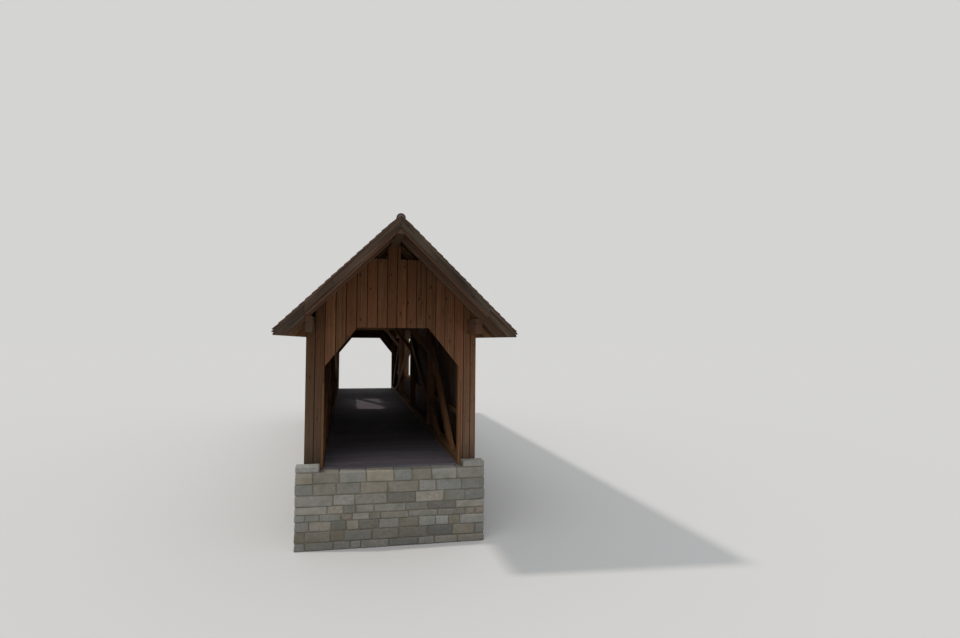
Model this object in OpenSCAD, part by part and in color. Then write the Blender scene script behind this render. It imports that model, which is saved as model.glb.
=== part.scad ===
// Small covered timber footbridge: two boarded portals, side trusses with raking struts,
// and a steep tiled roof that runs well out over both ends.
// X is across the bridge, Y along it with the near portal at -Y, Z is up.
// The origin is at the foot of the abutments, in the middle of the bridge.

/* [Overall] */
// Length between the outer faces of the two boarded portals
length = 20000; // [16000:500:24000]
// Width over the outer faces of the side boarding
width = 3410; // [3300:10:3600]
// Number of bays between timber frames, an even number
bays = 4; // [2:2:6]
// Height of the deck above the foot of the abutments
deck_height = 1500; // [1300:50:2400]

/* [Portal opening] */
// Height of the opening's upright sides above the deck
portal_knee = 1990; // [1850:10:2150]
// Height of the opening's flat head above the deck
portal_head = 2770; // [2650:10:2850]
// Width of the opening's flat head
portal_head_w = 1430; // [1200:10:1700]
// How much lower the far portal's opening is
far_drop = 140; // [0:10:200]
// How far the jambs stand back on each side below the step
jamb_step = 50; // [20:5:80]
// Height of the step in the jambs above the deck
jamb_step_h = 1670; // [1400:10:1800]
// Height of the jamb boards' feet above the deck
jamb_foot = 100; // [60:10:160]
// How far the gable vents' sills lie below the top of the roof's underside
vent_drop = 505; // [460:5:600]
// Width of the boards left standing between the two vents
vent_post_w = 260; // [200:10:320]

/* [Timber frames] */
// Width of a post across the bridge
post_t = 200; // [180:10:220]
// Width of the posts and tie beams along the bridge
post_w = 180; // [150:10:220]
// Height above the deck where a knee brace leaves its post
brace_knee = 2130; // [2050:10:2200]
// Slope of the knee braces in degrees
brace_pitch = 52; // [48:1:54]
// Depth of a knee brace
brace_depth = 120; // [100:10:140]
// How far a knee brace is let into its post and its tie beam
brace_let = 25; // [15:5:40]
// Height of the tie beams' underside above the deck
tie_foot = 2980; // [2950:10:3000]
// Depth of a tie beam
tie_depth = 170; // [140:10:170]
// Length of the tenon on a post's head, in the tie beam
tenon_len = 70; // [50:5:90]
// Thickness of that tenon
tenon_t = 45; // [40:5:60]
// Clearance round the tenon in its mortise
tenon_gap = 0.5; // [0.3:0.1:1.5]
// Height of the top of the wall plates above the deck
plate_top = 2860; // [2830:10:2880]
// Depth of the wall plates, which lie along the outer faces of the posts
plate_depth = 200; // [180:10:220]
// How far the wall plates run out past the portals
plate_run = 780; // [700:20:1100]
// Depth of the rafter plates that lie on the wall plates
rafter_plate_depth = 100; // [80:5:120]
// Width of the rafter plates
rafter_plate_w = 120; // [100:5:130]
// Width of a king post both ways
king_w = 160; // [120:10:160]

/* [Side trusses] */
// Depth of the bottom chords
chord_depth = 360; // [320:10:420]
// Height of the bottom chords above the deck, where they serve as kerbs
kerb = 140; // [120:10:180]
// Depth of the raking struts
strut_depth = 240; // [180:10:280]
// Width of the raking struts, which lie flush with the inner faces of the posts
strut_w = 100; // [80:10:120]
// Distance of the short struts' toes from the portal face; their heads are at the next frame
short_strut_toe = 890; // [750:10:1000]
// Distance of the long struts' toes from the portal face; their heads are at the middle frame
long_strut_toe = 2860; // [2600:10:3200]
// Height above the deck at which a short strut's top meets its post
short_strut_head = 2750; // [2600:10:2850]
// Height above the deck at which a long strut's top meets its post
long_strut_head = 2590; // [2400:10:2700]
// Depth of the step in the chord that holds a strut's toe
toe_step = 45; // [30:5:60]
// How far a strut's head is let into its post, up to the side of the knee brace
head_let = 20; // [10:5:30]

/* [Floor] */
// Thickness of the deck planking
deck_t = 60; // [50:5:80]
// Gap between the deck and each bottom chord
deck_gap = 5; // [2:1:10]
// Width of a stringer
stringer_w = 120; // [80:10:160]
// Number of stringers under the deck
stringers_n = 5; // [3:1:7]
// Depth of the cross beams
cross_depth = 240; // [200:10:300]
// How far the cross beams stop short of the side boarding
cross_gap = 30; // [10:5:60]

/* [Boarding] */
// Thickness of the wall boarding
board_t = 30; // [24:1:40]
// Height of a side rail that carries the boarding
girt_h = 120; // [100:10:160]
// Thickness of the rails and wall plates between the posts and the boarding
rail_t = 130; // [100:10:140]
// Gap between the top of the side boarding and the rafters above
wall_top_gap = 15; // [5:5:40]
// Gap between the side boarding's feet and the abutment seat
wall_foot_gap = 20; // [10:5:60]
// Gap round timbers that pass through the gable boarding
notch_gap = 4; // [2:1:8]

/* [Side windows] */
// Length of the open window in each side, in the bay past the middle
window_len = 4000; // [2400:100:4400]
// Height of the window's sill rail above the deck
window_sill = 960; // [900:10:1200]
// Thickness of the window's sill plank
sill_t = 40; // [30:5:60]
// Depth of the window's head plank
head_t = 80; // [40:5:120]
// Thickness of the window's jamb planks
window_jamb_t = 60; // [40:5:80]
// How far the window frame stands out from the boarding
window_proud = 30; // [10:5:60]

/* [Roof] */
// Pitch of the roof in degrees
pitch = 44; // [40:1:46]
// How far the eaves of the roof stand out from the side boarding
eave_out = 475; // [350:5:600]
// How far the roof runs out past each portal
verge = 1550; // [1200:50:1800]
// Depth of the rafters
rafter_depth = 120; // [100:10:140]
// Width of the rafters
rafter_w = 90; // [80:10:120]
// Width of a rafter's level seat on the rafter plate
seat_w = 75; // [50:5:90]
// Rafters in a bay, each side
rafters_per_bay = 10; // [6:1:10]
// Width of the ridge purlin
purlin_w = 160; // [120:10:160]
// Depth of the sides of the ridge purlin
purlin_depth = 165; // [140:5:220]
// Thickness of the roof boarding
sheathing_t = 24; // [18:1:30]
// Thickness of the tiling at the foot of each course
tiling_t = 68; // [60:1:76]
// How much thinner each course is at its upper end
tile_lap = 20; // [10:1:25]
// Distance from one course of tiles to the next
gauge = 150; // [120:5:200]
// How far the tiles reach past the roof boarding at the eaves, and the ridge tiles past the bargeboards
tile_reach = 25; // [15:5:40]
// How far the rafter tails stop short of the boarding's edge
tail_back = 40; // [20:5:80]
// Outer radius of the ridge tiles
ridge_r = 85; // [75:5:110]
// Thickness of the ridge tiles
ridge_t = 20; // [15:1:25]
// Depth of the upper length of a bargeboard
barge_depth = 150; // [130:5:180]
// How much deeper the lower length of a bargeboard is
barge_extra = 40; // [10:5:50]
// Distance of the joint between the two lengths from the middle of the bridge
barge_joint_x = 1640; // [1200:10:1800]
// Width of that joint
barge_joint = 3; // [2:1:6]
// How far the bargeboards stand up beside the tiling, measured from the roof boarding
barge_rise = 35; // [20:5:45]
// Thickness of the bargeboards
barge_t = 30; // [25:1:40]

/* [Abutments] */
// Length of the seat that carries the end of the bridge
seat_len = 785; // [600:5:1200]
// Thickness of the wall behind the end of the bridge
backwall_t = 315; // [250:5:450]
// How far the abutment reaches past the side boarding
abutment_out = 145; // [80:5:300]
// Joint between the end of the bridge and the abutment's back wall
end_joint = 15; // [5:1:25]
// How far the back wall's top stays below the deck
backwall_drop = 20; // [10:5:40]

/* [Hidden] */
$fn = 48;

near = -1;
far = 1;
left = -1;
right = 1;

// How far a cut runs past the face that it leaves
over = 1;

// Places across the bridge, measured from its middle
wall_out = width / 2;
wall_in = wall_out - board_t;
post_out = wall_in - rail_t;
post_in = post_out - post_t;
strut_out = post_in + strut_w;
head_half = portal_head_w / 2;
abutment_half = wall_out + abutment_out;
eave_half = wall_out + eave_out;

// Places along the bridge
portal_y = length / 2;
frame_end = portal_y - board_t;
last_frame = frame_end - post_w / 2;
bay = 2 * last_frame / bays;
roof_end = portal_y + verge;
roof_frame_end = roof_end - barge_t;
plate_end = portal_y + plate_run;
ridge_end = roof_end + tile_reach;
backwall_y = frame_end + end_joint;
brace_w = post_w - 2 * head_let;
window_mid = bay / 2;
window_cut = window_len / 2 + window_jamb_t;

// Heights above the deck
chord_foot = kerb - chord_depth;
cross_foot = chord_foot - cross_depth;
plate_foot = plate_top - plate_depth;
tie_top = tie_foot + tie_depth;
rafter_plate_top = plate_top + rafter_plate_depth;
wall_foot = cross_foot + wall_foot_gap;

// The rafters' underside passes through the inner end of their seat on the rafter plate
seat_in = wall_in - seat_w;
under_apex = rafter_plate_top + seat_in * tan(pitch);
soffit_apex = under_apex + rafter_depth / cos(pitch);
sheathing_apex = soffit_apex + sheathing_t / cos(pitch);
tile_apex = sheathing_apex + tiling_t / cos(pitch);
board_edge = eave_half - tile_reach;
rafter_tail = board_edge - tail_back;
wall_top = rafter_under(wall_out) - wall_top_gap;
window_h = plate_foot - head_t - window_sill - sill_t;
vent_sill = soffit_apex - vent_drop;
eave_level = sheathing_top(eave_half);
purlin_half = purlin_w / 2;
purlin_foot = soffit(purlin_half) - purlin_depth;
ridge_centre = tile_apex - (ridge_r - ridge_t) + notch_gap / 2;

// Height of the rafters' underside, the soffit and the sheathing's top at a distance from the middle
function rafter_under(x) = under_apex - x * tan(pitch);
function soffit(x) = soffit_apex - x * tan(pitch);
function sheathing_top(x) = sheathing_apex - x * tan(pitch);

// How far along the bridge each frame stands
function frame_y(i) = -last_frame + i * bay;

// A point on the roof: how far down the slope and how far out from the sheathing
function on_slope(down, out) = [
    down * cos(pitch) + out * sin(pitch),
    sheathing_apex - down * sin(pitch) + out * cos(pitch)
];

// Extrudes an outline drawn across the bridge, from y1 to y2, with heights from the deck
module across(y1, y2) {
    translate([0, y2, deck_height])
        rotate([90, 0, 0])
            linear_extrude(y2 - y1)
                children();
}

// Extrudes an outline drawn along the bridge, from x1 to x2, with heights from the deck
module along(x1, x2) {
    translate([x1, 0, deck_height])
        rotate([90, 0, 90])
            linear_extrude(x2 - x1)
                children();
}

// A squared timber or slab between two corners, with heights from the deck
module timber(low, high) {
    translate([low[0], low[1], low[2] + deck_height])
        cube(high - low);
}

// Puts a right-hand piece on either side of the bridge
module on_side(side) {
    mirror([side == left ? 1 : 0, 0, 0])
        children();
}

// Puts a piece of the far end at either end of the bridge
module at_end(end) {
    mirror([0, end == near ? 1 : 0, 0])
        children();
}

// Foot of the bridge at one end: a seat for the timbers and a wall behind them
module abutment(end) {
    color("darkgray")
        at_end(end) {
            timber(
                [-abutment_half, backwall_y - seat_len, -deck_height],
                [abutment_half, backwall_y + backwall_t, cross_foot]
            );
            timber(
                [-abutment_half, backwall_y, cross_foot],
                [abutment_half, backwall_y + backwall_t, -backwall_drop]
            );
            for (side = [left, right])
                on_side(side)
                    timber(
                        [post_in + jamb_step, backwall_y, -backwall_drop],
                        [abutment_half, backwall_y + backwall_t, jamb_foot]
                    );
        }
}

// Beams across the bridge under every frame and under the middle of every bay
module cross_beams() {
    reach = wall_in - cross_gap;
    color("saddlebrown")
        for (i = [0 : 2 * bays])
            timber(
                [-reach, -last_frame + i * bay / 2 - post_w / 2, cross_foot],
                [reach, -last_frame + i * bay / 2 + post_w / 2, chord_foot]
            );
}

// Timbers along the bridge between the cross beams and the planks
module stringers() {
    spread = post_in - deck_gap - stringer_w;
    color("saddlebrown")
        for (i = [0 : stringers_n - 1]) {
            x = -spread + i * 2 * spread / (stringers_n - 1);
            timber(
                [x - stringer_w / 2, -frame_end, chord_foot],
                [x + stringer_w / 2, frame_end, -deck_t]
            );
        }
}

module deck() {
    half = post_in - deck_gap;
    color("dimgray")
        timber([-half, -frame_end, -deck_t], [half, frame_end, 0]);
}

// Outline of a strut along the bridge: its toe stepped into the chord, its head let into
// the post that stands at post_y
module strut_outline(toe_y, post_y, head_h) {
    face_y = post_y - post_w / 2;
    slope = atan2(head_h - kerb, face_y - toe_y);
    end_h = head_h + head_let * tan(slope);
    polygon([
        [toe_y, kerb],
        [toe_y + toe_step * tan(slope / 2), kerb - toe_step],
        [toe_y + strut_depth / sin(slope), kerb],
        [face_y + head_let, end_h - strut_depth / cos(slope)],
        [face_y + head_let, end_h]
    ]);
}

// The four struts of a side, from x1 to x2: a short and a long one at each end
module strut_set(x1, x2) {
    for (end = [near, far])
        at_end(end)
            mirror([0, 1, 0])
                along(x1, x2) {
                    strut_outline(-portal_y + short_strut_toe, frame_y(1), short_strut_head);
                    strut_outline(-portal_y + long_strut_toe, frame_y(bays / 2), long_strut_head);
                }
}

module struts(side) {
    color("peru")
        on_side(side)
            strut_set(post_in, strut_out);
}

// Bottom chord of a side truss, stepped for the struts; it stands above the deck as a kerb
module bottom_chord(side) {
    color("peru")
        on_side(side)
            difference() {
                timber([post_in, -frame_end, chord_foot], [post_out, frame_end, kerb]);
                strut_set(post_in - over, strut_out);
            }
}

// Tenons on the heads of one side's posts, made bigger all round by that gap
module post_tenons(gap) {
    centre = (post_in + post_out) / 2;
    for (i = [0 : bays])
        timber(
            [centre - post_t / 4 - gap, frame_y(i) - tenon_t / 2 - gap, tie_foot - over],
            [centre + post_t / 4 + gap, frame_y(i) + tenon_t / 2 + gap, tie_foot + tenon_len + gap]
        );
}

// Posts, halved round the long struts and notched for strut heads and knee braces
module posts(side) {
    color("peru")
        on_side(side)
            difference() {
                union() {
                    for (i = [0 : bays])
                        timber(
                            [post_in, frame_y(i) - post_w / 2, kerb],
                            [post_out, frame_y(i) + post_w / 2, tie_foot]
                        );
                    post_tenons(0);
                }
                strut_set(post_in - over, strut_out);
                brace_set();
            }
}

// Wall plate along the outer faces of the posts, which runs out to carry the roof past the portals
module wall_plate(side) {
    color("sienna")
        on_side(side)
            timber([post_out, -plate_end, plate_foot], [wall_in, plate_end, plate_top]);
}

// Outline of a right-hand knee brace, let into its post and its tie beam
module knee_brace_outline() {
    end_x = post_in + brace_let;
    low_end = brace_knee - brace_let * tan(brace_pitch);
    head_h = tie_foot + brace_let;
    head_x = post_in - (head_h - brace_knee) / tan(brace_pitch);
    polygon([
        [end_x, low_end],
        [end_x, low_end + brace_depth / cos(brace_pitch)],
        [head_x + brace_depth / sin(brace_pitch), head_h],
        [head_x, head_h]
    ]);
}

// The right-hand knee braces of all frames
module brace_set() {
    for (i = [0 : bays])
        across(frame_y(i) - brace_w / 2, frame_y(i) + brace_w / 2)
            knee_brace_outline();
}

module knee_braces() {
    color("peru")
        for (side = [left, right])
            on_side(side)
                brace_set();
}

// Tie beams on the heads of the posts, mortised for their tenons and notched for the knee braces
module tie_beams() {
    color("sienna")
        difference() {
            for (i = [0 : bays])
                timber(
                    [-post_out, frame_y(i) - post_w / 2, tie_foot],
                    [post_out, frame_y(i) + post_w / 2, tie_top]
                );
            for (side = [left, right])
                on_side(side) {
                    post_tenons(tenon_gap);
                    brace_set();
                }
        }
}

// Flat timbers on the wall plates that carry the feet of the rafters
module rafter_plates() {
    color("sienna")
        for (side = [left, right])
            on_side(side)
                timber(
                    [wall_in - rafter_plate_w, -plate_end, plate_top],
                    [wall_in, plate_end, rafter_plate_top]
                );
}

module king_posts() {
    color("sienna")
        for (i = [0 : bays])
            timber(
                [-king_w / 2, frame_y(i) - king_w / 2, tie_top],
                [king_w / 2, frame_y(i) + king_w / 2, purlin_foot]
            );
}

// Ridge purlin, with its top bevelled both ways to carry the roof boarding
module ridge_purlin() {
    color("sienna")
        across(-roof_frame_end, roof_frame_end)
            polygon([
                [-purlin_half, purlin_foot],
                [purlin_half, purlin_foot],
                [purlin_half, soffit(purlin_half)],
                [0, soffit_apex],
                [-purlin_half, soffit(purlin_half)]
            ]);
}

// Outline of a right-hand rafter, notched over the rafter plate, its tail cut level at the eaves
module rafter_outline() {
    polygon([
        [purlin_half, soffit(purlin_half)],
        [rafter_tail, soffit(rafter_tail)],
        [rafter_tail, eave_level],
        [(under_apex - eave_level) / tan(pitch), eave_level],
        [wall_in, rafter_under(wall_in)],
        [wall_in, rafter_plate_top],
        [seat_in, rafter_plate_top],
        [purlin_half, rafter_under(purlin_half)]
    ]);
}

// Rafters between the frames, and two more pairs past each portal: at the verge and on the
// ends of the plates
module rafters(side) {
    verge_y = roof_frame_end - rafter_w / 2;
    step = bay / rafters_per_bay;
    inner = [for (i = [0 : bays * rafters_per_bay - 1]) -last_frame + (i + 0.5) * step];
    seated_y = plate_end - rafter_w / 2;
    outer = [for (y = [verge_y, seated_y]) for (end = [near, far]) end * y];
    color("sienna")
        on_side(side)
            for (y = concat(inner, outer))
                across(y - rafter_w / 2, y + rafter_w / 2)
                    rafter_outline();
}

module roof_boards(side) {
    color("tan")
        on_side(side)
            across(-roof_frame_end, roof_frame_end)
                polygon([
                    [0, soffit_apex],
                    [board_edge, soffit(board_edge)],
                    [board_edge, sheathing_top(board_edge)],
                    [0, sheathing_apex]
                ]);
}

// Tiling laid in courses: each course is thickest at its foot, and the top one is even
module roof_tiles(side) {
    slope_len = (eave_half - tiling_t * sin(pitch)) / cos(pitch);
    courses = floor(slope_len / gauge);
    top_course = slope_len - (courses - 1) * gauge;
    steps = [
        for (i = [1 : courses - 1])
            let (down = top_course + (i - 1) * gauge)
                each [
                    on_slope(down, tiling_t),
                    on_slope(down, tiling_t - tile_lap)
                ]
    ];
    color("brown")
        on_side(side)
            across(-roof_frame_end, roof_frame_end)
                polygon(concat(
                    [[0, sheathing_apex], [0, tile_apex]],
                    steps,
                    [on_slope(slope_len, tiling_t), on_slope(slope_len, 0)]
                ));
}

// Half-round ridge tiles, cut to sit on the top course of both slopes and over the bargeboards
module ridge_tiles() {
    reach = 2 * ridge_r;
    color("brown")
        across(-ridge_end, ridge_end)
            difference() {
                translate([0, ridge_centre])
                    circle(ridge_r);
                translate([0, ridge_centre])
                    circle(ridge_r - ridge_t);
                polygon([
                    [0, tile_apex],
                    [reach, tile_apex - reach * tan(pitch)],
                    [reach, tile_apex - 2 * reach],
                    [-reach, tile_apex - 2 * reach],
                    [-reach, tile_apex - reach * tan(pitch)]
                ]);
            }
}

// Heights of the upper edge of a bargeboard and of the lower edge of one of that depth
function barge_top(x) = sheathing_top(x) + barge_rise / cos(pitch);
function barge_under(x, depth) = barge_top(x) - depth / cos(pitch);

// Board in two lengths that covers the ends of the roof boarding and tiling, its foot cut aslant
module bargeboard(end, side) {
    lower_depth = barge_depth + barge_extra;
    lower_x = barge_joint_x + barge_joint;
    foot_x = eave_half - (lower_depth - barge_rise) / sin(pitch);
    color("rosybrown")
        on_side(side)
            at_end(end)
                across(roof_frame_end, roof_end) {
                    polygon([
                        [0, barge_under(0, barge_depth)],
                        [0, barge_top(0)],
                        [barge_joint_x, barge_top(barge_joint_x)],
                        [barge_joint_x, barge_under(barge_joint_x, barge_depth)]
                    ]);
                    polygon([
                        [lower_x, barge_under(lower_x, lower_depth)],
                        [lower_x, barge_top(lower_x)],
                        [eave_half, barge_top(eave_half)],
                        [foot_x, eave_level]
                    ]);
                }
}

// Rails along the outside of the posts that the side boarding is nailed to
module side_rails(side) {
    color("peru")
        on_side(side)
            for (foot = [kerb - 2 * girt_h, window_sill - girt_h])
                timber([post_out, -frame_end, foot], [wall_in, frame_end, foot + girt_h]);
}

// Plain lengths of side boarding before and past the window
module wall_boards(side) {
    color("sienna")
        on_side(side) {
            timber([wall_in, -frame_end, wall_foot], [wall_out, window_mid - window_cut, wall_top]);
            timber([wall_in, window_mid + window_cut, wall_foot], [wall_out, frame_end, wall_top]);
        }
}

module wall_under_window(side) {
    color("sienna")
        on_side(side)
            timber(
                [wall_in, window_mid - window_cut, wall_foot],
                [wall_out, window_mid + window_cut, window_sill]
            );
}

module wall_over_window(side) {
    color("sienna")
        on_side(side)
            timber(
                [wall_in, window_mid - window_cut, plate_foot],
                [wall_out, window_mid + window_cut, wall_top]
            );
}

// Planks that line the window, between the sill rail and the wall plate
module window_frame(side) {
    color("burlywood")
        on_side(side)
            along(post_out, wall_out + window_proud)
                difference() {
                    translate([window_mid - window_cut, window_sill])
                        square([2 * window_cut, plate_foot - window_sill]);
                    translate([window_mid - window_len / 2, window_sill + sill_t])
                        square([window_len, window_h]);
                }
}

// How much lower the opening of the portal at that end is
function drop(end) = end == far ? far_drop : 0;

// Upright boards beside the opening, stepped back at their feet
module jamb_boards(end) {
    knee = portal_knee - drop(end);
    step_h = jamb_step_h - drop(end);
    color("sienna")
        for (side = [left, right])
            on_side(side)
                at_end(end)
                    across(frame_end, portal_y)
                        polygon([
                            [post_in + jamb_step, jamb_foot],
                            [wall_out, jamb_foot],
                            [wall_out, knee],
                            [post_in, knee],
                            [post_in, step_h],
                            [post_in + jamb_step, step_h]
                        ]);
}

// Boards over the slanting corners of the opening, cut round the plates
module haunch_boards(end) {
    knee = portal_knee - drop(end);
    notch_w = wall_out - post_out + 2 * notch_gap;
    color("sienna")
        for (side = [left, right])
            on_side(side)
                at_end(end)
                    across(frame_end, portal_y)
                        difference() {
                            polygon([
                                [post_in, knee],
                                [wall_out, knee],
                                [wall_out, soffit(wall_out) - notch_gap],
                                [head_half, soffit(head_half) - notch_gap],
                                [head_half, portal_head - drop(end)]
                            ]);
                            translate([post_out - notch_gap, plate_foot - notch_gap])
                                square([notch_w, rafter_plate_top - plate_foot + 2 * notch_gap]);
                        }
}

// Boards over the flat head, up to the vents and the ridge purlin
module gable_boards(end) {
    vent_out = (soffit_apex - notch_gap - vent_sill) / tan(pitch);
    vent_in = vent_post_w / 2;
    half = [
        [head_half, portal_head - drop(end)],
        [head_half, soffit(head_half) - notch_gap],
        [vent_out, vent_sill],
        [vent_in, vent_sill],
        [vent_in, purlin_foot]
    ];
    color("sienna")
        at_end(end)
            across(frame_end, portal_y)
                polygon(concat(
                    half,
                    [for (i = [len(half) - 1 : -1 : 0]) [-half[i][0], half[i][1]]]
                ));
}

abutment(near);  // abutment_near
abutment(far);  // abutment_far
cross_beams();
stringers();
deck();
bottom_chord(left);  // bottom_chord_left
bottom_chord(right);  // bottom_chord_right
posts(left);  // posts_left
posts(right);  // posts_right
struts(left);  // struts_left
struts(right);  // struts_right
wall_plate(left);  // wall_plate_left
wall_plate(right);  // wall_plate_right
knee_braces();
tie_beams();
king_posts();
rafter_plates();
ridge_purlin();
rafters(left);  // rafters_left
rafters(right);  // rafters_right
roof_boards(left);  // roof_boards_left
roof_boards(right);  // roof_boards_right
roof_tiles(left);  // roof_tiles_left
roof_tiles(right);  // roof_tiles_right
ridge_tiles();
bargeboard(near, left);  // bargeboard_near_left
bargeboard(near, right);  // bargeboard_near_right
bargeboard(far, left);  // bargeboard_far_left
bargeboard(far, right);  // bargeboard_far_right
side_rails(left);  // side_rails_left
side_rails(right);  // side_rails_right
wall_boards(left);  // left_wall_boards
wall_boards(right);  // right_wall_boards
wall_under_window(left);  // left_wall_under_window
wall_under_window(right);  // right_wall_under_window
wall_over_window(left);  // left_wall_over_window
wall_over_window(right);  // right_wall_over_window
window_frame(left);  // window_frame_left
window_frame(right);  // window_frame_right
jamb_boards(near);  // near_jamb_boards
jamb_boards(far);  // far_jamb_boards
haunch_boards(near);  // near_haunch_boards
haunch_boards(far);  // far_haunch_boards
gable_boards(near);  // near_gable_boards
gable_boards(far);  // far_gable_boards
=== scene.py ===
# %% [markdown]
# The CAD model is the fixed frame of the whole scene: every node is a mesh in metres, already in
# its place. We could model the bridge again by eye, but cutting the CAD solids into boards and
# rounding their edges keeps every joint where the carpenters put it.

# %% Load the frame
import math
import random

import bmesh
import bpy
from mathutils import Matrix, Vector


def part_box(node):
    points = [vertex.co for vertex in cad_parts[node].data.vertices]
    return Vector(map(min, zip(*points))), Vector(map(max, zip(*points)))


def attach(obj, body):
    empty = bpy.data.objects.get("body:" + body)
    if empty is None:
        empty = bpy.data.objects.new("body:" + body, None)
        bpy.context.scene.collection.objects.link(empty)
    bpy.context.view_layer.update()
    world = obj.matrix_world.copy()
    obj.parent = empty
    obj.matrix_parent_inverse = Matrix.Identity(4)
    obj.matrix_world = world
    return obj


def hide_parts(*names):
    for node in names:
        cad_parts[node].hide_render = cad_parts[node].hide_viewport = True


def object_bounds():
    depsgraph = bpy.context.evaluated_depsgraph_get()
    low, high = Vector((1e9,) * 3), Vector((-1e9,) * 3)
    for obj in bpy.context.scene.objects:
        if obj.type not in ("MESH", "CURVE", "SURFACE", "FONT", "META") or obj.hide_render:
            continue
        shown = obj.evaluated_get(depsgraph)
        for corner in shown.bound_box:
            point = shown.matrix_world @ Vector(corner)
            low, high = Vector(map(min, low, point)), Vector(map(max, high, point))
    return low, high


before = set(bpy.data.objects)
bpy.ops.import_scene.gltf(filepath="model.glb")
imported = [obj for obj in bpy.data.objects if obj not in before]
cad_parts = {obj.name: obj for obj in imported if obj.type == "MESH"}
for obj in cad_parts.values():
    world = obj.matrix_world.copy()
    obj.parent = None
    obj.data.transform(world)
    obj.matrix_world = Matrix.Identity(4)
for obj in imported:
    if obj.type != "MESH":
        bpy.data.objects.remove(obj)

CAD_LOW, CAD_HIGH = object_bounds()
X, Y, Z = Vector((1, 0, 0)), Vector((0, 1, 0)), Vector((0, 0, 1))
CHANCE = random.Random(7)
print("CAD box", [round(v, 3) for v in (*CAD_LOW, *CAD_HIGH)])

# %% [markdown]
# The photograph was taken from in front of the bridge, a little left of its middle. A camera can
# be aimed with a tracking constraint, but the place, the three angles and the focal length were
# worked out from the vanishing lines, so they are set as plain numbers. The focal length is in
# pixels of the photograph, so its width turns it into millimetres.

# %% Camera
CAMERA_AT = Vector((-0.886, -22.321, 4.020))
YAW, TILT, ROLL = (math.radians(v) for v in (12.25, 2.08, -0.45))
FOCAL_PIXELS, IMAGE_WIDTH, SENSOR_WIDTH = 603.84, 960, 36

camera_data = bpy.data.cameras.new("camera")
camera_data.sensor_width = SENSOR_WIDTH
camera_data.lens = FOCAL_PIXELS / IMAGE_WIDTH * SENSOR_WIDTH
camera = bpy.data.objects.new("camera", camera_data)
camera.matrix_world = (
    Matrix.Translation(CAMERA_AT)
    @ Matrix.Rotation(-YAW, 4, "Z")
    @ Matrix.Rotation(math.pi / 2 + TILT, 4, "X")
    @ Matrix.Rotation(-ROLL, 4, "Z")
)
bpy.context.scene.collection.objects.link(camera)
bpy.context.scene.camera = camera
print("camera lens", round(camera_data.lens, 2), "mm")

# %% [markdown]
# Every finish here is a network of shader nodes. Adding nodes one line at a time is long-winded,
# so a few small helpers make a node, join it and hand back its output. The first ones start a
# material, read an attribute or a place on the piece, and finish the surface: its colour, how
# rough it is, and a bump that lets a pattern stand up from it.

# %% Material helpers
def new_material(name):
    material = bpy.data.materials.new(name)
    material.use_nodes = True
    return material, material.node_tree, material.node_tree.nodes["Principled BSDF"]


def attribute(tree, name):
    made = tree.nodes.new("ShaderNodeAttribute")
    made.attribute_name = name
    return made


def place_in(tree):
    return tree.nodes.new("ShaderNodeTexCoord").outputs["Object"]


def surface(tree, shader, colour, roughness, height, strength, distance):
    tree.links.new(colour, shader.inputs["Base Color"])
    shader.inputs["Roughness"].default_value = roughness
    made = tree.nodes.new("ShaderNodeBump")
    made.inputs["Strength"].default_value = strength
    made.inputs["Distance"].default_value = distance
    tree.links.new(height, made.inputs["Height"])
    tree.links.new(made.outputs[0], shader.inputs["Normal"])


print("material helpers ready")

# %% [markdown]
# A colour ramp turns the grey of a pattern into colours, and a mix lays one colour over another.
# Painted images could do the same, but they would blur close up.

# %% Colour helpers
def level(value):
    """A grey of this brightness."""
    return (value,) * 3


def darker(colour, share):
    return tuple(share * v for v in colour)


def ramp(tree, source, stops):
    made = tree.nodes.new("ShaderNodeValToRGB")
    while len(made.color_ramp.elements) < len(stops):
        made.color_ramp.elements.new(0.5)
    for element, (at, colour) in zip(made.color_ramp.elements, stops):
        element.position = at
        element.color = (*colour, 1)
    tree.links.new(source, made.inputs[0])
    return made.outputs[0]


def mix(tree, factor, a, b, blend="MIX"):
    made = tree.nodes.new("ShaderNodeMix")
    made.data_type = "RGBA"
    made.blend_type = blend
    for socket, value in ((made.inputs[0], factor), (made.inputs[6], a), (made.inputs[7], b)):
        if isinstance(value, bpy.types.NodeSocket):
            tree.links.new(value, socket)
        else:
            socket.default_value = value if isinstance(value, float) else (*value, 1)
    return made.outputs[2]


BLACK, WHITE = level(0), level(1)
print("colours run from", BLACK, "to", WHITE)

# %% [markdown]
# A bare number that is the same all over a piece is set on the socket itself. Only what changes
# from place to place is a link. So one helper takes either, and two more name the sums that
# the finishes need most.

# %% Number helpers
def math_node(tree, operation, a, b=0.0, clamp=False):
    made = tree.nodes.new("ShaderNodeMath")
    made.operation = operation
    made.use_clamp = clamp
    for socket, value in zip(made.inputs, (a, b)):
        if isinstance(value, bpy.types.NodeSocket):
            tree.links.new(value, socket)
        else:
            socket.default_value = value
    return made.outputs[0]


def times(tree, a, b):
    return math_node(tree, "MULTIPLY", a, b)


def plus(tree, a, b, clamp=False):
    return math_node(tree, "ADD", a, b, clamp)


print("number helpers ready")

# %% [markdown]
# Noise is the raw stuff of wood grain, rust and dirt. An image would end or repeat somewhere on
# 20 m of bridge, and noise never does. Stretching its coordinates draws it out along one axis.

# %% Pattern helpers
def stretched(tree, vector, scale):
    made = tree.nodes.new("ShaderNodeMapping")
    made.vector_type = "POINT"
    made.inputs["Scale"].default_value = scale
    tree.links.new(vector, made.inputs["Vector"])
    return made.outputs[0]


def noise(tree, vector, scale, detail, roughness=0.55):
    made = tree.nodes.new("ShaderNodeTexNoise")
    for key, value in (("Scale", scale), ("Detail", detail), ("Roughness", roughness)):
        made.inputs[key].default_value = value
    tree.links.new(vector, made.inputs["Vector"])
    return made.outputs[0]


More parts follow.
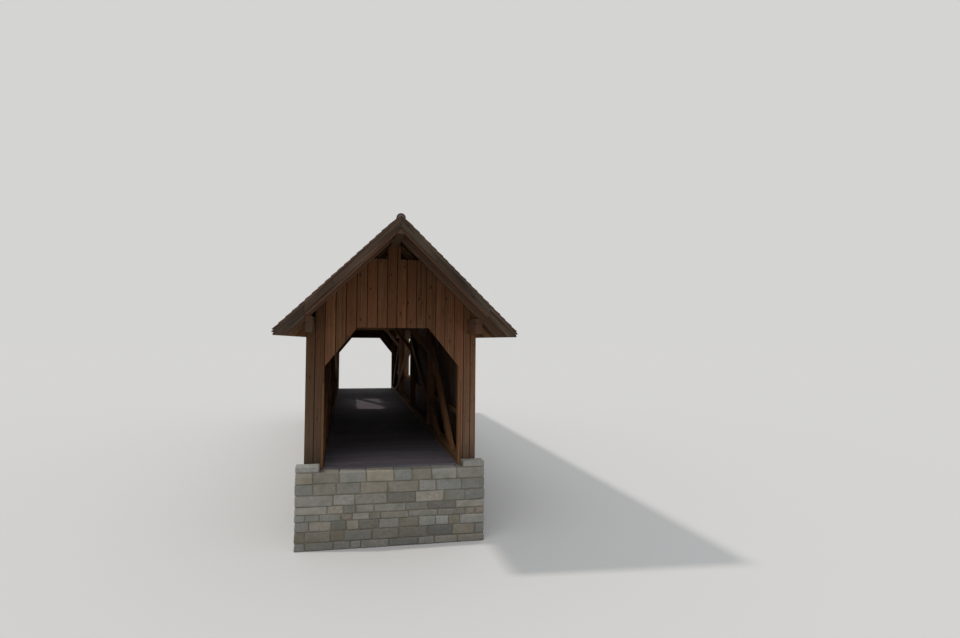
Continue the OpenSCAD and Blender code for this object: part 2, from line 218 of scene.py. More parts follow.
print("pattern helpers ready")

# %% [markdown]
# Wood is a solid thing: rings run round the pith and fibres run along the log. An image or a
# flat pattern would give the same boards again and again. Every piece of timber therefore
# carries a vector attribute called grain, its own coordinates inside an imaginary log, and a
# number called tone that says how dark that piece is.

# %% Rings and fibres
RING_SETTINGS = (("Scale", 24), ("Distortion", 3.2), ("Detail", 3), ("Detail Scale", 0.35))
RING_STRETCH, FIBRE_STRETCH = (1, 1, 0.12), (150, 150, 4)


def rings_and_fibres(tree, grain, early, late):
    wave = tree.nodes.new("ShaderNodeTexWave")
    wave.wave_type, wave.rings_direction, wave.wave_profile = "RINGS", "Z", "SAW"
    for key, value in RING_SETTINGS:
        wave.inputs[key].default_value = value
    tree.links.new(stretched(tree, grain, RING_STRETCH), wave.inputs["Vector"])
    rings = ramp(tree, wave.outputs[1], [(0.25, BLACK), (0.95, level(0.75))])
    fibre = noise(tree, stretched(tree, grain, FIBRE_STRETCH), 1.0, 5.0, 0.65)
    shade = ramp(tree, fibre, [(0.3, level(0.4)), (0.7, level(1.3))])
    relief = plus(tree, fibre, times(tree, wave.outputs[1], -0.25))
    return mix(tree, 0.6, mix(tree, rings, early, late), shade, "MULTIPLY"), relief


print("fibres are drawn out", FIBRE_STRETCH[0] / FIBRE_STRETCH[2], "times")

# %% [markdown]
# Softwood boards are full of knots, and they split along the grain as they dry. Cells of a
# Voronoi texture, stretched along the log, make the knots: dark at the heart with a softer rim.
# Modelled cracks would cost many faces, so a thin slice out of a long noise makes them.

# %% Knots and cracks
KNOT_STRETCH, CRACK_STRETCH = (8, 8, 3.6), (42, 42, 0.9)
KNOT = [(0.07, WHITE), (0.11, level(0.6)), (0.19, BLACK)]
CRACK = [(0.40, BLACK), (0.412, WHITE), (0.424, BLACK)]


def with_knots(tree, grain, colour, late, strength):
    cells = tree.nodes.new("ShaderNodeTexVoronoi")
    cells.inputs["Scale"].default_value = 1.0
    tree.links.new(stretched(tree, grain, KNOT_STRETCH), cells.inputs["Vector"])
    knot = ramp(tree, cells.outputs["Distance"], KNOT)
    return mix(tree, times(tree, knot, strength), colour, darker(late, 0.22))


def with_cracks(tree, grain, colour, late):
    crack = ramp(tree, noise(tree, stretched(tree, grain, CRACK_STRETCH), 1.0, 2.0, 0.5), CRACK)
    return mix(tree, times(tree, crack, 0.75), colour, darker(late, 0.2)), crack


print("a knot is about", round(2 * KNOT[2][0] / KNOT_STRETCH[0] * 1000), "mm across")

# %% [markdown]
# Rain and sun bleach unpainted boards in streaks, and more so low down, where rain splashes.
# The framing is fresh brown indoors and grey where it stands out past the portals. A painted
# mask would have to be drawn again for each piece, so height and place along the bridge are
# read from Object coordinates, which never slide on a piece.

# %% Where the weather comes
PORTAL_Y, ABOVE_ALL = 10.02, 7.0


def height_band(tree, low, high):
    """1 below the height low, 0 above high, both in metres above the abutments' foot."""
    place = tree.nodes.new("ShaderNodeSeparateXYZ")
    tree.links.new(place_in(tree), place.inputs[0])
    share = math_node(tree, "DIVIDE", place.outputs[2], ABOVE_ALL)
    return ramp(tree, share, [(low / ABOVE_ALL, WHITE), (high / ABOVE_ALL, BLACK)])


def outdoors(tree):
    """1 on the parts that stand out past the portals, 0 indoors."""
    place = tree.nodes.new("ShaderNodeSeparateXYZ")
    tree.links.new(place_in(tree), place.inputs[0])
    return math_node(tree, "GREATER_THAN", math_node(tree, "ABSOLUTE", place.outputs[1]), PORTAL_Y)


print("outdoors is past", PORTAL_Y, "m from the middle")

# %% [markdown]
# One noise alone looks like clouds. So the bleaching is two noises along the grain, wide patches
# and narrow streaks, and where both are strong the wood turns grey. The streaks also darken and
# lighten it a little by themselves, and splashed rain leaves a dark foot on the walls.

# %% Bleached wood
PATCH_STRETCH, STREAK_STRETCH = (5, 5, 0.8), (34, 34, 0.7)
GREYING, SPLASHED = (1.9, 4.6), (1.62, 2.1)


def with_weather(tree, grain, colour, bleached, grey, low_grey, outside, streaky):
    patches = noise(tree, stretched(tree, grain, PATCH_STRETCH), 1.0, 3.0)
    streaks = noise(tree, stretched(tree, grain, STREAK_STRETCH), 1.0, 3.0, 0.6)
    both = times(tree, plus(tree, patches, streaks), 0.5)
    share = times(tree, ramp(tree, both, [(0.38, BLACK), (0.62, WHITE)]), grey)
    if low_grey:
        share = plus(tree, share, times(tree, height_band(tree, *GREYING), low_grey), True)
    if outside:
        share = plus(tree, share, times(tree, outdoors(tree), outside), True)
    colour = mix(tree, share, colour, bleached)
    bands = ramp(tree, streaks, [(0.35, level(0.4)), (0.65, level(1.36))])
    colour = mix(tree, streaky, colour, bands, "MULTIPLY")
    if low_grey:
        splash = times(tree, height_band(tree, *SPLASHED), patches)
        colour = mix(tree, splash, colour, darker(bleached, 0.35))
    return colour


print("walls grey below", GREYING[1], "m and are splashed below", SPLASHED[1], "m")

# %% [markdown]
# No two boards are alike, so the tone of a piece makes it lighter or darker, and a second chance
# number made from the tone makes it warmer or cooler. One node tree copied by hand for each kind
# of wood would be hard to change, so a kind is a row of a table: its early wood, its late wood,
# its bleached colour, and how much of each pattern it has.

# %% Kinds of wood
# The darkest stop, at tone 0, is painted shade: the tongues deep in the board joints take it.
TONES_AND_PAINTED_SHADE = [(0.0, (0.2, 0.18, 0.18)), (0.14, level(0.7)), (0.5, WHITE), (1.0, level(1.28))]
WARM_WOOD, COOL_WOOD, SHUFFLE = (1.07, 0.95, 0.9), (0.95, 1.04, 1.0), 17.3


def cast(tree, tone, warm, cool):
    """A warm or a cool tint, drawn from the tone."""
    hue = math_node(tree, "FRACT", times(tree, tone, SHUFFLE))
    return ramp(tree, hue, [(0.0, warm), (0.5, WHITE), (1.0, cool)])


def wood(name, early, late, bleached, grey, knots=0.5, low_grey=0.0, outside=0.0, streaky=0.25):
    material, tree, shader = new_material(name)
    grain = attribute(tree, "grain").outputs["Vector"]
    tone = attribute(tree, "tone").outputs["Fac"]
    colour, relief = rings_and_fibres(tree, grain, early, late)
    colour = with_knots(tree, grain, colour, late, knots)
    colour = with_weather(tree, grain, colour, bleached, grey, low_grey, outside, streaky)
    colour, crack = with_cracks(tree, grain, colour, late)
    colour = mix(tree, 1.0, colour, ramp(tree, tone, TONES_AND_PAINTED_SHADE), "MULTIPLY")
    colour = mix(tree, 1.0, colour, cast(tree, tone, WARM_WOOD, COOL_WOOD), "MULTIPLY")
    shader.inputs["Specular IOR Level"].default_value = 0.12
    height = math_node(tree, "SUBTRACT", relief, crack)
    surface(tree, shader, colour, 0.8, height, strength=0.4, distance=0.004)
    return material


KINDS = {
    "frame_timber": (
        (0.28, 0.15, 0.07), (0.14, 0.066, 0.03), (0.092, 0.053, 0.036),
        {"grey": 0.35, "outside": 0.7}),
    "dark_timber": (
        (0.11, 0.078, 0.056), (0.052, 0.038, 0.03), (0.1, 0.092, 0.085),
        {"grey": 0.5}),
    "deck_planks": (
        (0.155, 0.136, 0.156), (0.1, 0.087, 0.102), (0.18, 0.168, 0.193),
        {"grey": 0.6, "knots": 0.3}),
    "roof_boards": (
        (0.14, 0.075, 0.04), (0.075, 0.038, 0.022), (0.07, 0.052, 0.042),
        {"grey": 0.4, "knots": 0.6, "outside": 0.4}),
    "wall_boards": (
        (0.19, 0.098, 0.055), (0.095, 0.043, 0.024), (0.14, 0.108, 0.085),
        {"grey": 0.4, "knots": 0.7, "low_grey": 0.45}),
    "gable_boards": (
        (0.185, 0.078, 0.031), (0.085, 0.032, 0.012), (0.125, 0.088, 0.066),
        {"grey": 0.2, "knots": 0.9, "low_grey": 0.5}),
    "bargeboards": (
        (0.07, 0.043, 0.028), (0.024, 0.015, 0.011), (0.08, 0.066, 0.049),
        {"grey": 0.5, "knots": 0.8, "streaky": 1.0}),
}
WOODS = {
    name: wood(name, early, late, bleached, **weathering)
    for name, (early, late, bleached, weathering) in KINDS.items()
}
print(len(WOODS), "kinds of wood")

# %% [markdown]
# To work on a CAD solid we first take a clean copy. Its triangles are loose, so they are merged,
# and flat neighbours are dissolved, so that later the bevel meets only real edges. The normals
# stored for the CAD faces no longer fit a cut and bevelled board, so they are dropped. Where
# several nodes touch, as the boards of a portal do, the faces they share are taken out.

# %% Clean copies
MERGE, FLAT_WITHIN = 1e-5, 0.01


def merge_and_flatten(bm):
    """Merges loose corners and dissolves the edges between faces in one plane."""
    bmesh.ops.remove_doubles(bm, verts=bm.verts, dist=MERGE)
    bmesh.ops.dissolve_limit(bm, angle_limit=FLAT_WITHIN, verts=bm.verts, edges=bm.edges)


def solid_of(*nodes):
    """One clean mesh of one or more CAD nodes."""
    whole = bmesh.new()
    for name in nodes:
        part = bmesh.new()
        part.from_mesh(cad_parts[name].data)
        merge_and_flatten(part)
        mesh = bpy.data.meshes.new("part")
        part.to_mesh(mesh)
        part.free()
        stored = mesh.attributes.get("custom_normal")
        if stored:
            mesh.attributes.remove(stored)
        whole.from_mesh(mesh)
        bpy.data.meshes.remove(mesh)
    if len(nodes) > 1:
        bmesh.ops.remove_doubles(whole, verts=whole.verts, dist=MERGE)
        shared = [f for f in whole.faces if all(len(e.link_faces) > 2 for e in f.edges)]
        bmesh.ops.delete(whole, geom=shared, context="FACES_ONLY")
        merge_and_flatten(whole)
    bmesh.ops.recalc_face_normals(whole, faces=whole.faces)
    return whole


def islands(bm):
    """The separate solids of a mesh, each as a mesh of its own."""
    bm.verts.index_update()
    bm.verts.ensure_lookup_table()
    left = set(range(len(bm.verts)))
    while left:
        found, rim = set(), {min(left)}
        while rim:
            found |= rim
            rim = {v.index for i in rim for e in bm.verts[i].link_edges for v in e.verts} - found
        left -= found
        one = bm.copy()
        others = [v for i, v in enumerate(one.verts) if i not in found]
        bmesh.ops.delete(one, geom=others, context="VERTS")
        yield one


print("the posts on the left are", len(list(islands(solid_of("posts_left")))), "timbers")

# %% [markdown]
# Boards are cut from a slab with a saw, and so we do it too. Boolean cuts would be slow for so
# many boards, but two cutting planes leave one board at once, and the width of the saw cut
# between neighbours becomes the open joint.

# %% Saw
def keep_below(bm, normal, at):
    """Cuts away all that lies past a plane and closes the cut."""
    cut = bmesh.ops.bisect_plane(
        bm, geom=bm.verts[:] + bm.edges[:] + bm.faces[:], dist=1e-6,
        plane_co=normal * at, plane_no=normal, clear_outer=True,
    )["geom_cut"]
    edges = [e for e in cut if isinstance(e, bmesh.types.BMEdge)]
    if edges:
        bmesh.ops.edgenet_fill(bm, edges=edges)


def saw(bm, normal, cuts, kerf):
    """Cuts a solid into boards between planes across the normal. The kerf may differ by cut."""
    kerfs = kerf if isinstance(kerf, list) else [kerf] * len(cuts)
    for a, b, kerf_a, kerf_b in zip(cuts, cuts[1:], kerfs, kerfs[1:]):
        board = bm.copy()
        keep_below(board, -normal, -(a + kerf_a / 2))
        keep_below(board, normal, b - kerf_b / 2)
        yield from islands(board)
        board.free()


print("saw ready")

# %% [markdown]
# A sawn timber is never a perfect block: its arrises are knocked off, and light catches them.
# A Bevel modifier could do that for each timber as an object, but there are hundreds of them.
# So a stack bevels each timber, gives it a place in a log of its own, and joins many timbers
# in one mesh. Small things that repeat, like nails and tiles, are added as copies of one shape.

# %% Stack of timbers
SHARP, OFF_PITH, LOG_LEN = 0.5, (0.06, 0.22), 60


def grain_way(bm):
    """The direction of the longest edge of a timber, which is also that of its grain."""
    edge = max(bm.edges, key=lambda e: e.calc_length())
    return (edge.verts[1].co - edge.verts[0].co).normalized()


class Stack:
    """Gathers finished timbers for one joined mesh."""

    def __init__(self):
        self.whole = bmesh.new()

    def take(self, shape, place, grain, tone):
        """Joins a copy of a shape, moved to its place, with its grain and its tone."""
        verts, faces = shape.verts.layers.float_vector, shape.faces.layers.float
        in_log = verts.get("grain") or verts.new("grain")
        darkness = faces.get("tone") or faces.new("tone")
        for v in shape.verts:
            v[in_log] = grain @ v.co
        for f in shape.faces:
            f.smooth = False
            f[darkness] = tone
        copy = bpy.data.meshes.new("copy")
        shape.to_mesh(copy)
        copy.transform(place)
        self.whole.from_mesh(copy)
        bpy.data.meshes.remove(copy)

    def add(self, bm, arris, segments=2, tone=None, spread=0.35):
        """Wears the arrises of a timber and puts it in the stack."""
        along = grain_way(bm)
        if arris:
            sharp = [e for e in bm.edges if len(e.link_faces) == 2 and e.calc_face_angle(0) > SHARP]
            bmesh.ops.bevel(bm, geom=sharp, offset=arris, segments=segments, profile=0.5,
                            affect="EDGES", clamp_overlap=True, material=-1)
        bmesh.ops.recalc_face_normals(bm, faces=bm.faces)
        middle = sum((v.co for v in bm.verts), Vector()) / len(bm.verts)
        angle, off_pith = CHANCE.uniform(0, 2 * math.pi), CHANCE.uniform(*OFF_PITH)
        aside, ahead = off_pith * math.cos(angle), off_pith * math.sin(angle)
        heart = Vector((aside, ahead, CHANCE.uniform(0, LOG_LEN)))
        turn = along.rotation_difference(Z).to_matrix().to_4x4()
        shade = 0.5 + CHANCE.uniform(-spread, spread) if tone is None else tone
        self.take(bm, Matrix(), Matrix.Translation(heart) @ turn @ Matrix.Translation(-middle), shade)
        bm.free()

    def repeat(self, shape, place, tone):
        """Puts one more copy of a small shape in the stack."""
        self.take(shape, place, place, tone)

    def piece(self, name, slot, *nodes, material=None):
        """Makes the stack a piece of the scene, which takes the place of these CAD nodes."""
        mesh = bpy.data.meshes.new(name)
        self.whole.to_mesh(mesh)
        self.whole.free()
        mesh.materials.append(material or WOODS[slot])
        made = bpy.data.objects.new(name, mesh)
        bpy.context.scene.collection.objects.link(made)
        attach(made, "root")
        if nodes:
            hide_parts(*nodes)
        print(name, len(mesh.vertices), "vertices,", len(mesh.polygons), "faces")


print("stack ready")

# %% [markdown]
# The heavy frame of the bridge, its trusses, ties, braces and rafters, is squared softwood.
# New blocks would lose the notches and tenons, so each timber is a bevelled copy of its CAD
# solid with its own grain and tone. The beams and stringers under the deck are the same work in
# darker, damper wood.

# %% Frame timbers
TIMBER_ARRIS = 0.006
FRAME = [
    "bottom_chord_left", "bottom_chord_right", "posts_left", "posts_right", "struts_left",
    "struts_right", "wall_plate_left", "wall_plate_right", "knee_braces", "tie_beams",
    "king_posts", "rafter_plates", "ridge_purlin", "rafters_left", "rafters_right",
    "side_rails_left", "side_rails_right", "cross_beams", "stringers",
]
for name in FRAME:
    stack = Stack()
    whole = solid_of(name)
    for timber in islands(whole):
        stack.add(timber, TIMBER_ARRIS)
    whole.free()
    under = name in ("cross_beams", "stringers")
    stack.piece("timber_" + name, "dark_timber" if under else "frame_timber", name)

# %% [markdown]
# The side windows are lined with four planks each, sill and head running through. Four new
# boxes would have to be fitted again, but sawing the CAD ring at two heights gives the planks
# their real joints.

# %% Window linings
SIDES = (("left", -1), ("right", 1))
SILL_T, HEAD_T, LINING_ARRIS = 0.04, 0.08, 0.004
PAST_END, TIGHT_JOINT = 0.001, 0.001
for side, _ in SIDES:
    name = "window_frame_" + side
    low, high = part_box(name)
    whole = solid_of(name)
    stack = Stack()
    cuts = [low.z - PAST_END, low.z + SILL_T, high.z - HEAD_T, high.z + PAST_END]
    for plank in saw(whole, Z, cuts, TIGHT_JOINT):
        stack.add(plank, LINING_ARRIS)
    whole.free()
    stack.piece("planks_" + name, "frame_timber", name)

# %% [markdown]
# Nail and bolt heads are small, but close up they tell what holds the boards. Painting them on
# would leave them flat, so a head is a cone cut short, with six sides for a nail and twelve for
# a washer, and all the heads of one wall are copies of it in one mesh. Rust is a dark iron with
# brown noise over it.

# %% Ironwork
def iron():
    material, tree, shader = new_material("rusty_iron")
    rust = noise(tree, place_in(tree), 90.0, 4.0, 0.7)
    colour = ramp(tree, rust, [(0.35, (0.028, 0.022, 0.02)), (0.65, (0.11, 0.045, 0.022))])
    shader.inputs["Metallic"].default_value = 0.5
    surface(tree, shader, colour, 0.65, rust, strength=0.4, distance=0.0006)
    return material


def head_shape(radius, height, sides=6, taper=0.8):
    """A low disc that stands on the plane z = 0."""
    bm = bmesh.new()
    bmesh.ops.create_cone(bm, cap_ends=True, segments=sides, radius1=radius,
                          radius2=radius * taper, depth=height)
    bmesh.ops.translate(bm, verts=bm.verts, vec=(0, 0, height / 2))
    return bm


def facing(at, out):
    """Moves a head to a spot and turns it to point out of the surface."""
    return Matrix.Translation(at) @ out.to_track_quat("Z", "Y").to_matrix().to_4x4()


def fix(stack, shape, at, out, tone=0.5):
    """Sets a head on a surface."""
    stack.repeat(shape, facing(at, out), tone)


IRON = iron()
BOARD_NAIL = head_shape(radius=0.005, height=0.004)
DECK_NAIL = head_shape(radius=0.006, height=0.0012)
print("a nail head has", len(BOARD_NAIL.faces), "faces")

# %% [markdown]
# The portals are closed with upright boards, tongued into each other, that run through from
# the jambs to the roof. An array of boxes could not follow the slanting corners and the vents.
# So the three CAD parts of a portal are joined again and sawn at the board joints of the
# photograph; a thin strip in each joint stands for the tongue, and it is painted nearly black
# as painted shade in the joint.

# %% Portal boards
ENDS = (("near", -1), ("far", 1))
JOINTS = [
    -1.71, -1.53, -1.345, -1.14, -0.94, -0.735, -0.53, -0.33, -0.13, 0.065,
    0.265, 0.46, 0.66, 0.86, 1.05, 1.25, 1.445, 1.59, 1.71,
]
WIDE_GROOVE, NARROW_GROOVE, WIDE_ONES = 0.017, 0.013, 12
GROOVES = [WIDE_GROOVE] * WIDE_ONES + [NARROW_GROOVE] * (len(JOINTS) - WIDE_ONES)
BOARD_ARRIS, SUNK_MOST, ON_FACE = 0.003, 0.004, 1e-4
TONGUE_PLAY, TONGUE_SINK = 0.0002, 0.6


def boards(whole, normal, cuts, grooves, stack, out):
    """Boards between the cuts, some a little sunk, and a tongue in each joint painted dark as shade.
    """
    for board in saw(whole, normal, cuts, grooves):
        sink = CHANCE.uniform(0, SUNK_MOST)
        face = max(v.co.dot(out) for v in board.verts)
        for v in board.verts:
            if v.co.dot(out) > face - ON_FACE:
                v.co -= out * sink
        stack.add(board, BOARD_ARRIS, 1)
    for at, groove in list(zip(cuts, grooves))[1:-1]:
        for tongue in saw(whole, normal, [at - groove / 2, at + groove / 2], TONGUE_PLAY):
            middle = sum(v.co.dot(out) for v in tongue.verts) / len(tongue.verts)
            for v in tongue.verts:
                v.co += out * (middle - v.co.dot(out)) * TONGUE_SINK
            # Tone 0 paints the tongue nearly black, as painted shade in the joint.
            stack.add(tongue, 0, tone=0.0)


for end, sign in ENDS:
    names = [end + part for part in ("_jamb_boards", "_haunch_boards", "_gable_boards")]
    whole = solid_of(*names)
    stack = Stack()
    boards(whole, X, JOINTS, GROOVES, stack, Y * sign)
    whole.free()
    stack.piece("boards_" + end, "gable_boards", *names)

# %% [markdown]
# Two nails hold each board at every rail behind it: low, at the knee and at the head of the
# jambs, and in two rows on the gable. Scattering them by chance would look careless, so they
# follow the board joints, as a carpenter's would. None is above the roof line or on the end of
# a wall plate.

# %% Portal nails
PITCH = math.radians(44)
JAMB_ROWS, GABLE_ROWS, JAMB_X = (1.85, 2.6, 3.3), (4.42, 5.05), 1.3
ROOF_LINE_Z, PLATE_X, PLATE_Z = 6.02, 1.53, 4.1
NAIL_IN, NAIL_SUNK = 0.035, 0.003
for end, sign in ENDS:
    nails = Stack()
    low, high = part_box(end + "_gable_boards")
    face = max(abs(low.y), abs(high.y))
    for a, b in zip(JOINTS, JOINTS[1:]):
        on_jamb = min(abs(a), abs(b)) > JAMB_X
        for z in (JAMB_ROWS + GABLE_ROWS if on_jamb else GABLE_ROWS):
            for x in (a + NAIL_IN, b - NAIL_IN):
                under_roof = abs(x) < (ROOF_LINE_Z - z) / math.tan(PITCH)
                on_plate = abs(x) > PLATE_X and z > PLATE_Z
                if under_roof and not on_plate:
                    fix(nails, BOARD_NAIL, (x, sign * (face - NAIL_SUNK), z), Y * sign)
    nails.piece("nails_" + end, "gable_boards", material=IRON)

# %% [markdown]
# Boards of one width rarely fill a wall, so a carpenter measures it first and shares out what is
# left over. An array needs its step beforehand, but a cut list made from the measured ends
# always fits.

# %% Measuring
def reach(verts, direction):
    """How far corners reach along a direction, at the low and the high end."""
    values = [v.co.dot(direction) for v in verts]
    return min(values), max(values)


def evenly(low, high, width):
    """Cuts from low to high at even steps, as near to this width as they can be."""
    count = round((high - low) / width)
    return [low + k * (high - low) / count for k in range(count + 1)]


print("a bay of 5 m is cut into", len(evenly(0, 5, 0.2)) - 1, "boards")

# %% [markdown]
# The side walls have the same upright boards, about a hundred on each side, nailed to the rails
# and to the wall plate. Copies of one board would all be as wide, so the walls are sawn too, and
# the cuts move a little by chance.

# %% Side boards
WALL_ROWS = {
    "_wall_boards": (1.46, 2.4, 4.24),
    "_wall_under_window": (1.46, 2.4),
    "_wall_over_window": (4.21,),
}
BOARD_W, JOINT_W, CUT_SHIFT = 0.2, 0.009, 0.012
WALL_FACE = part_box("right_wall_boards")[1].x - NAIL_SUNK
for side, sign in SIDES:
    nails = Stack()
    for part, rows in WALL_ROWS.items():
        name = side + part
        whole = solid_of(name)
        stack = Stack()
        for slab in islands(whole):
            low, *inner, high = evenly(*reach(slab.verts, Y), BOARD_W)
            cuts = [low, *(y + CHANCE.uniform(-CUT_SHIFT, CUT_SHIFT) for y in inner), high]
            boards(slab, Y, cuts, [0.0] + [JOINT_W] * len(inner) + [0.0], stack, X * sign)
            slab.free()
            for a, b in zip(cuts, cuts[1:]):
                for z in rows:
                    for y in (a + NAIL_IN, b - NAIL_IN):
                        fix(nails, BOARD_NAIL, (sign * WALL_FACE, y, z), X * sign)
        whole.free()
        stack.piece("boards_" + name, "wall_boards", name)
    nails.piece("nails_" + side, "wall_boards", material=IRON)

# %% [markdown]
# The deck is of thick planks laid across the bridge, worn and dusty grey, with open joints. An
# array would lay them dead level. Sawn from the CAD deck at even steps, each can sink by a
# millimetre or two, and two nails hold it at every stringer.

# %% Deck planks
PLANK_W, PLANK_GAP, PLANK_ARRIS, PLANK_SUNK, PLANK_SPREAD = 0.2, 0.006, 0.006, 0.003, 0.18
STRINGERS = (-1.22, -0.61, 0, 0.61, 1.22)
NAIL_APART, NAIL_ASTRAY, DECK_NAIL_SUNK = 0.055, 0.01, 0.001
low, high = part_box("deck")
whole = solid_of("deck")
stack, nails = Stack(), Stack()
cuts = evenly(low.y, high.y, PLANK_W)
for a, b, plank in zip(cuts, cuts[1:], saw(whole, Y, cuts, PLANK_GAP)):
    drop = CHANCE.uniform(0, PLANK_SUNK)
    for v in plank.verts:
        if v.co.z > high.z - ON_FACE:
            v.co.z -= drop
    stack.add(plank, PLANK_ARRIS, spread=PLANK_SPREAD)
    middle = (a + b) / 2
    top = high.z - drop - DECK_NAIL_SUNK
    for x in STRINGERS:
        for y in (middle - NAIL_APART, middle + NAIL_APART):
            fix(nails, DECK_NAIL, (x + CHANCE.uniform(-NAIL_ASTRAY, NAIL_ASTRAY), y, top), Z)
whole.free()
stack.piece("planks_deck", "deck_planks", "deck")
nails.piece("nails_deck", "deck_planks", material=IRON)

# %% [markdown]
# The struts are bolted near both ends and where they cross a post. A bolt head lies on a round
# washer. A list of places would come loose when a timber moves, so they are measured on the
# CAD struts: along the length from both ends, and where the line of a strut meets a post.

# %% Bolts
WASHER_T, END_BOLTS, CROSSING_BOLT, FROM_END = 0.004, (0.32, 0.46), 0.07, 1
WASHER = head_shape(radius=0.032, height=WASHER_T, sides=12, taper=0.92)
BOLT = head_shape(radius=0.015, height=0.012)
POST_Y = 5.0

bolts = Stack()
for side, sign in SIDES:
    whole = solid_of("struts_" + side)
    for strut in islands(whole):
        along = grain_way(strut)
        across = along.cross(X)
        foot, top = reach(strut.verts, along)
        axis = across * (sum(reach(strut.verts, across)) / 2)
        inner = X * sign * min(abs(v.co.x) for v in strut.verts)
        places = [foot + end for end in END_BOLTS] + [top - end for end in reversed(END_BOLTS)]
        for post in (-POST_Y, POST_Y):
            crossing = (post - axis.y) / along.y
            if foot + FROM_END < crossing < top - FROM_END:
                places += [crossing - CROSSING_BOLT, crossing + CROSSING_BOLT]
        for place in places:
            spot = inner + axis + along * place
            fix(bolts, WASHER, spot, X * -sign)
            fix(bolts, BOLT, spot - X * sign * WASHER_T, X * -sign)
    whole.free()
bolts.piece("bolts", "frame_timber", material=IRON)

# %% [markdown]
# Oak pegs lock the tenons of the posts in the tie beams. They are cut off a finger's breadth
# from the wood, two at each post on both faces of a tie. They could be part of the bolts' mesh,
# but they are wood, so they are a piece of their own with the frame's finish.

# %% Pegs
PEG = head_shape(radius=0.014, height=0.018, sides=8)
# Pegs on the right are lighter and on the left darker: painted light and painted shade of the two
# walls.
PEG_IN, PEG_UP, RIGHT_PAINTED_LIGHT_TONE, LEFT_PAINTED_SHADE_TONE = 0.06, 0.045, 0.7, 0.4
pegs = Stack()
whole = solid_of("tie_beams")
post_low, post_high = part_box("posts_right")
for tie in islands(whole):
    faces = reach(tie.verts, Y)
    z = reach(tie.verts, Z)[0] + PEG_UP
    for x in (post_low.x + PEG_IN, post_high.x - PEG_IN):
        for y, out in zip(faces, (-Y, Y)):
            fix(pegs, PEG, (x, y, z), out, RIGHT_PAINTED_LIGHT_TONE)
            fix(pegs, PEG, (-x, y, z), out, LEFT_PAINTED_SHADE_TONE)
whole.free()
pegs.piece("pegs", "frame_timber")

# %% [markdown]
# Roof boarding runs along the bridge over the rafters, in lengths that meet on a rafter. Seen
# from below, unbroken boards of 23 m would look false. So the slab is cut across the slope into
# rows, and each row is cut again at its own places.

# %% Roof boarding
RAFTER_STEP, ROOF_BOARD_W, ROW_GAP, END_GAP, ROOF_ARRIS = 0.988, 0.19, 0.004, 0.002, 0.002
FIRST_LENGTHS, LENGTHS, LAST_LENGTH = (2, 3, 4, 5), (4, 5), 1
for side, sign in SIDES:
    name = "roof_boards_" + side
    slope = Vector((sign * math.cos(PITCH), 0, -math.sin(PITCH)))
    whole = solid_of(name)
    rows = evenly(*reach(whole.verts, slope), ROOF_BOARD_W)
    low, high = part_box(name)
    stack = Stack()
    for strip in saw(whole, slope, rows, ROW_GAP):
        cuts = [low.y]
        at = low.y + CHANCE.choice(FIRST_LENGTHS) * RAFTER_STEP
        while at < high.y - LAST_LENGTH:
            cuts.append(at)
            at += CHANCE.choice(LENGTHS) * RAFTER_STEP
        for board in saw(strip, Y, cuts + [high.y], END_GAP):
            stack.add(board, ROOF_ARRIS, 1)
        strip.free()
    whole.free()
    stack.piece("boards_" + name, "roof_boards", name)

# %% [markdown]
# The bargeboards are two lengths of weathered board on each slope. The CAD has them as real
# boards, so bevelled copies are enough. They are nailed through to the roof boarding, in pairs,
# a good span apart.

# %% Bargeboards
BARGE_NAIL = head_shape(radius=0.006, height=0.004)
BARGE_ARRIS, BARGE_TONES = 0.004, (0.35, 0.7)
BARGE_APEX, BARGE_NAILS, BARGE_NAIL_STEP = 6.225, 9, 0.225
FIRST_NAIL, BELOW_TOP = 0.14, (0.05, 0.16)
for end, end_sign in ENDS:
    for side, side_sign in SIDES:
        name = f"bargeboard_{end}_{side}"
        whole = solid_of(name)
        face = reach(whole.verts, Y * end_sign)[1]
        stack, nails = Stack(), Stack()
        for board in islands(whole):
            stack.add(board, BARGE_ARRIS, tone=CHANCE.uniform(*BARGE_TONES))
        whole.free()
        stack.piece("board_" + name, "bargeboards", name)
        for k in range(BARGE_NAILS):
            x = FIRST_NAIL + k * BARGE_NAIL_STEP
            top = BARGE_APEX - x * math.tan(PITCH)
            for down in BELOW_TOP:
                spot = (side_sign * x, end_sign * (face - NAIL_SUNK), top - down)
                fix(nails, BARGE_NAIL, spot, Y * end_sign)
        nails.piece("nails_" + name, "bargeboards", material=IRON)

# %% [markdown]
# Weathered clay is never one red. Each tile has its own tone from the kiln; over that lie large
# patches of dirt, a green film where it stays damp, and small pale spots. One noise for the
# whole roof would look like cloth, so tone and patches are kept apart.

# %% Tile material
FIRED = [(0.0, (0.06, 0.031, 0.024)), (0.5, (0.115, 0.053, 0.037)), (1.0, (0.18, 0.085, 0.056))]
DIRT = (2.2, 6.0, 0.7), (0.42, 0.7), 0.6, (0.045, 0.043, 0.036)
GREEN_FILM = (9.0, 6.0, 0.75), (0.58, 0.7), 0.45, (0.06, 0.07, 0.028)
PALE_SPOTS = (38.0, 3.0, 0.6), (0.66, 0.7), 0.5, (0.2, 0.21, 0.17)


def clay():
    material, tree, shader = new_material("roof_tiles")
    place = place_in(tree)
    colour = ramp(tree, attribute(tree, "tone").outputs["Fac"], FIRED)
    for pattern, (start, full), share, layer in (DIRT, GREEN_FILM, PALE_SPOTS):
        spots = ramp(tree, noise(tree, place, *pattern), [(start, BLACK), (full, WHITE)])
        colour = mix(tree, times(tree, spots, share), colour, layer)
    grains = noise(tree, place, 60.0, 5.0, 0.6)
    surface(tree, shader, colour, 0.88, grains, strength=0.3, distance=0.003)
    return material


CLAY = clay()
print("clay ready")

